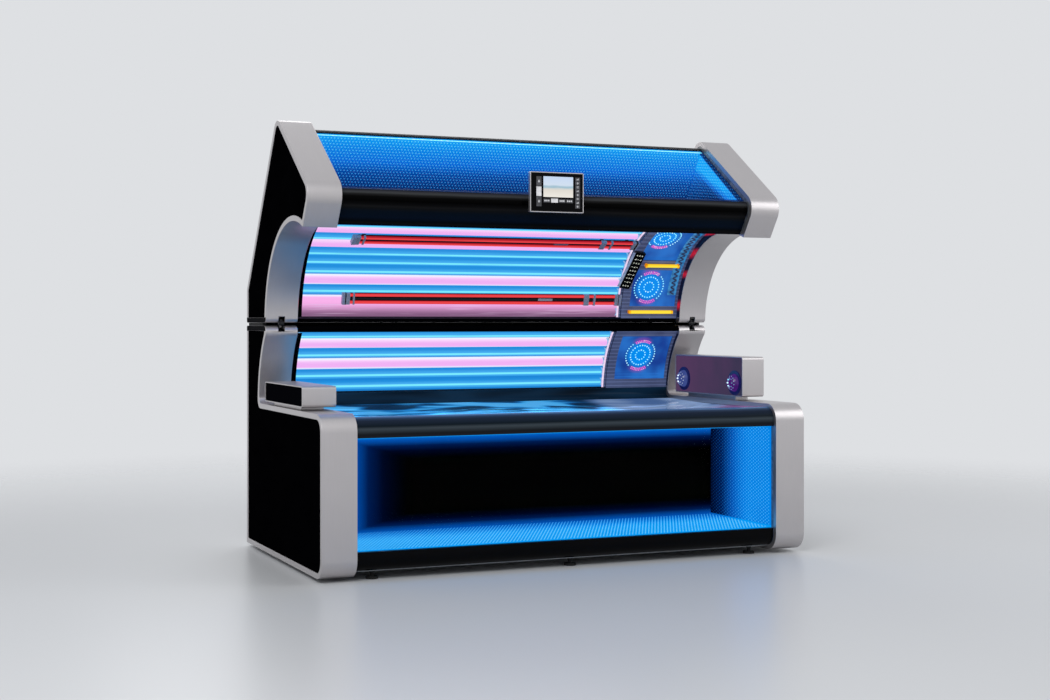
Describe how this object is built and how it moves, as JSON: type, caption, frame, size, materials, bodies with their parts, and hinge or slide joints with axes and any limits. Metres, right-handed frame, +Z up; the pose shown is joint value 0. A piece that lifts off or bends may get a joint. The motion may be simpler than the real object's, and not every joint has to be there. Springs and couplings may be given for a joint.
{
  "type": "clamshell tanning bed",
  "caption": "Clamshell tanning bed: hinged canopy and bench with glowing lamp tubes behind clear sheets, lit niches and broad metal end bands.",
  "frame": {"origin": "on the floor under the middle of the machine, at the bottom centre of its bounding box", "axes": "+X along the bed from the foot end to the head end, +Y from the user's side to the rear, +Z up; the canopy is open at rest"},
  "size_m": [2.38, 1.312, 2.0299],
  "materials": {
    "band_metal": "satin brushed",
    "gloss_black": "high gloss",
    "matte_black": "fine matte",
    "frame_steel": "powder coated",
    "cover_metal": "satin powder coat",
    "pad_rubber": "matte",
    "window_glass": "clear gloss",
    "acrylic_clear": "clear gloss",
    "niche_light": "light wall with a grid of small lights",
    "reflector_bright": "bright rolled",
    "tube_blue": "glowing tube",
    "tube_pink": "glowing tube",
    "tube_red": "glowing tube",
    "bar_yellow": "glowing diffuser",
    "socket_white": "moulded",
    "gear_grey": "satin",
    "bright_steel": "ground",
    "panel_smoke": "smoked gloss",
    "board_blue": "light board with rings of small lights",
    "jet_violet": "gloss",
    "screen_black": "glass front"
  },
  "bodies": {
    "base": {"base_end_band_left": "band_metal", "base_end_band_right": "band_metal", "base_side_panels": "gloss_black", "base_inner_walls": "frame_steel", "base_chassis": "frame_steel", "levelling_feet": "pad_rubber", "base_plinth": "gloss_black", "base_light_niche": "niche_light", "base_front_window": "window_glass", "bed_rails": "gloss_black", "bed_acrylic": "acrylic_clear", "bed_reflector": "reflector_bright", "bed_tubes": "tube_blue", "base_lamp_holders": "socket_white", "riser_acrylic": "acrylic_clear", "riser_reflector": "reflector_bright", "riser_blue_tubes": "tube_blue", "riser_pink_tubes": "tube_pink", "riser_face_panel": "panel_smoke", "riser_led_board": "board_blue", "base_rear_cover": "cover_metal", "ballasts": "gear_grey", "base_blower_housing": "matte_black", "mains_inlet_box": "matte_black", "foot_box_shell": "band_metal", "head_box_shell": "band_metal", "end_box_panels": "gloss_black", "base_pivot_brackets": "matte_black", "hinge_pins": "bright_steel"},
    "canopy": {"canopy_end_band_left": "band_metal", "canopy_end_band_right": "band_metal", "canopy_side_panels": "gloss_black", "canopy_inner_walls": "frame_steel", "canopy_spine_beam": "frame_steel", "canopy_rear_cover": "cover_metal", "canopy_front_window": "window_glass", "canopy_light_niche": "niche_light", "canopy_nose_rail": "gloss_black", "canopy_acrylic": "acrylic_clear", "canopy_reflector": "reflector_bright", "canopy_blue_tubes": "tube_blue", "canopy_pink_tubes": "tube_pink", "canopy_lamp_holders": "socket_white", "canopy_face_panel": "panel_smoke", "canopy_led_boards": "board_blue", "canopy_pivot_brackets": "matte_black", "canopy_blower_housing": "matte_black", "red_bar_frames": "gear_grey", "red_bar_tubes": "tube_red", "yellow_light_bars": "bar_yellow", "keypad": "screen_black", "touchscreen": "screen_black"},
    "base_blower_wheel": {"base_blower_rotor": "gear_grey"},
    "canopy_blower_wheel": {"canopy_blower_rotor": "gear_grey"},
    "jet_ring_rear": {"air_jet_ring_rear": "matte_black"},
    "jet_ball_rear": {"air_jet_ball_rear": "jet_violet"},
    "jet_ring_front": {"air_jet_ring_front": "matte_black"},
    "jet_ball_front": {"air_jet_ball_front": "jet_violet"},
    "strut_barrels": {"strut_cylinders": "matte_black"},
    "strut_pistons": {"strut_rods": "bright_steel"}
  },
  "joints": [
    {"name": "canopy_hinge", "type": "hinge", "parent": "base", "child": "canopy", "pos_m": [0, 0.3, 1.096], "axis": [1, 0, 0], "range_deg": [0, 45]},
    {"name": "strut_swing", "type": "hinge", "parent": "base", "child": "strut_barrels", "pos_m": [0, 0.4505, 0.9394], "axis": [1, 0, 0], "range_deg": [0, 23]},
    {"name": "strut_stroke", "type": "slide", "parent": "strut_barrels", "child": "strut_pistons", "axis": [0, 0.144, 0.9896], "range_m": [0, 0.111]},
    {"name": "base_blower_spin", "type": "hinge", "parent": "base", "child": "base_blower_wheel", "pos_m": [0, 0.42, 0.29], "axis": [1, 0, 0], "continuous": true},
    {"name": "canopy_blower_spin", "type": "hinge", "parent": "canopy", "child": "canopy_blower_wheel", "pos_m": [0, 0.47, 1.27], "axis": [1, 0, 0], "continuous": true},
    {"name": "jet_turn_rear", "type": "hinge", "parent": "base", "child": "jet_ring_rear", "pos_m": [1.04, 0.237, 0.806], "axis": [1, 0, 0], "continuous": true},
    {"name": "jet_tilt_rear", "type": "hinge", "parent": "jet_ring_rear", "child": "jet_ball_rear", "pos_m": [1.04, 0.237, 0.806], "axis": [0, 1, 0], "range_deg": [-30, 30]},
    {"name": "jet_turn_front", "type": "hinge", "parent": "base", "child": "jet_ring_front", "pos_m": [1.04, -0.274, 0.801], "axis": [1, 0, 0], "continuous": true},
    {"name": "jet_tilt_front", "type": "hinge", "parent": "jet_ring_front", "child": "jet_ball_front", "pos_m": [1.04, -0.274, 0.801], "axis": [0, 1, 0], "range_deg": [-30, 30]}
  ],
  "couplings": [
    {"joint": "strut_swing", "follows": "canopy_hinge", "ratio": 0.50561},
    {"joint": "strut_stroke", "follows": "canopy_hinge", "m_per_rad": 0.14091}
  ]
}
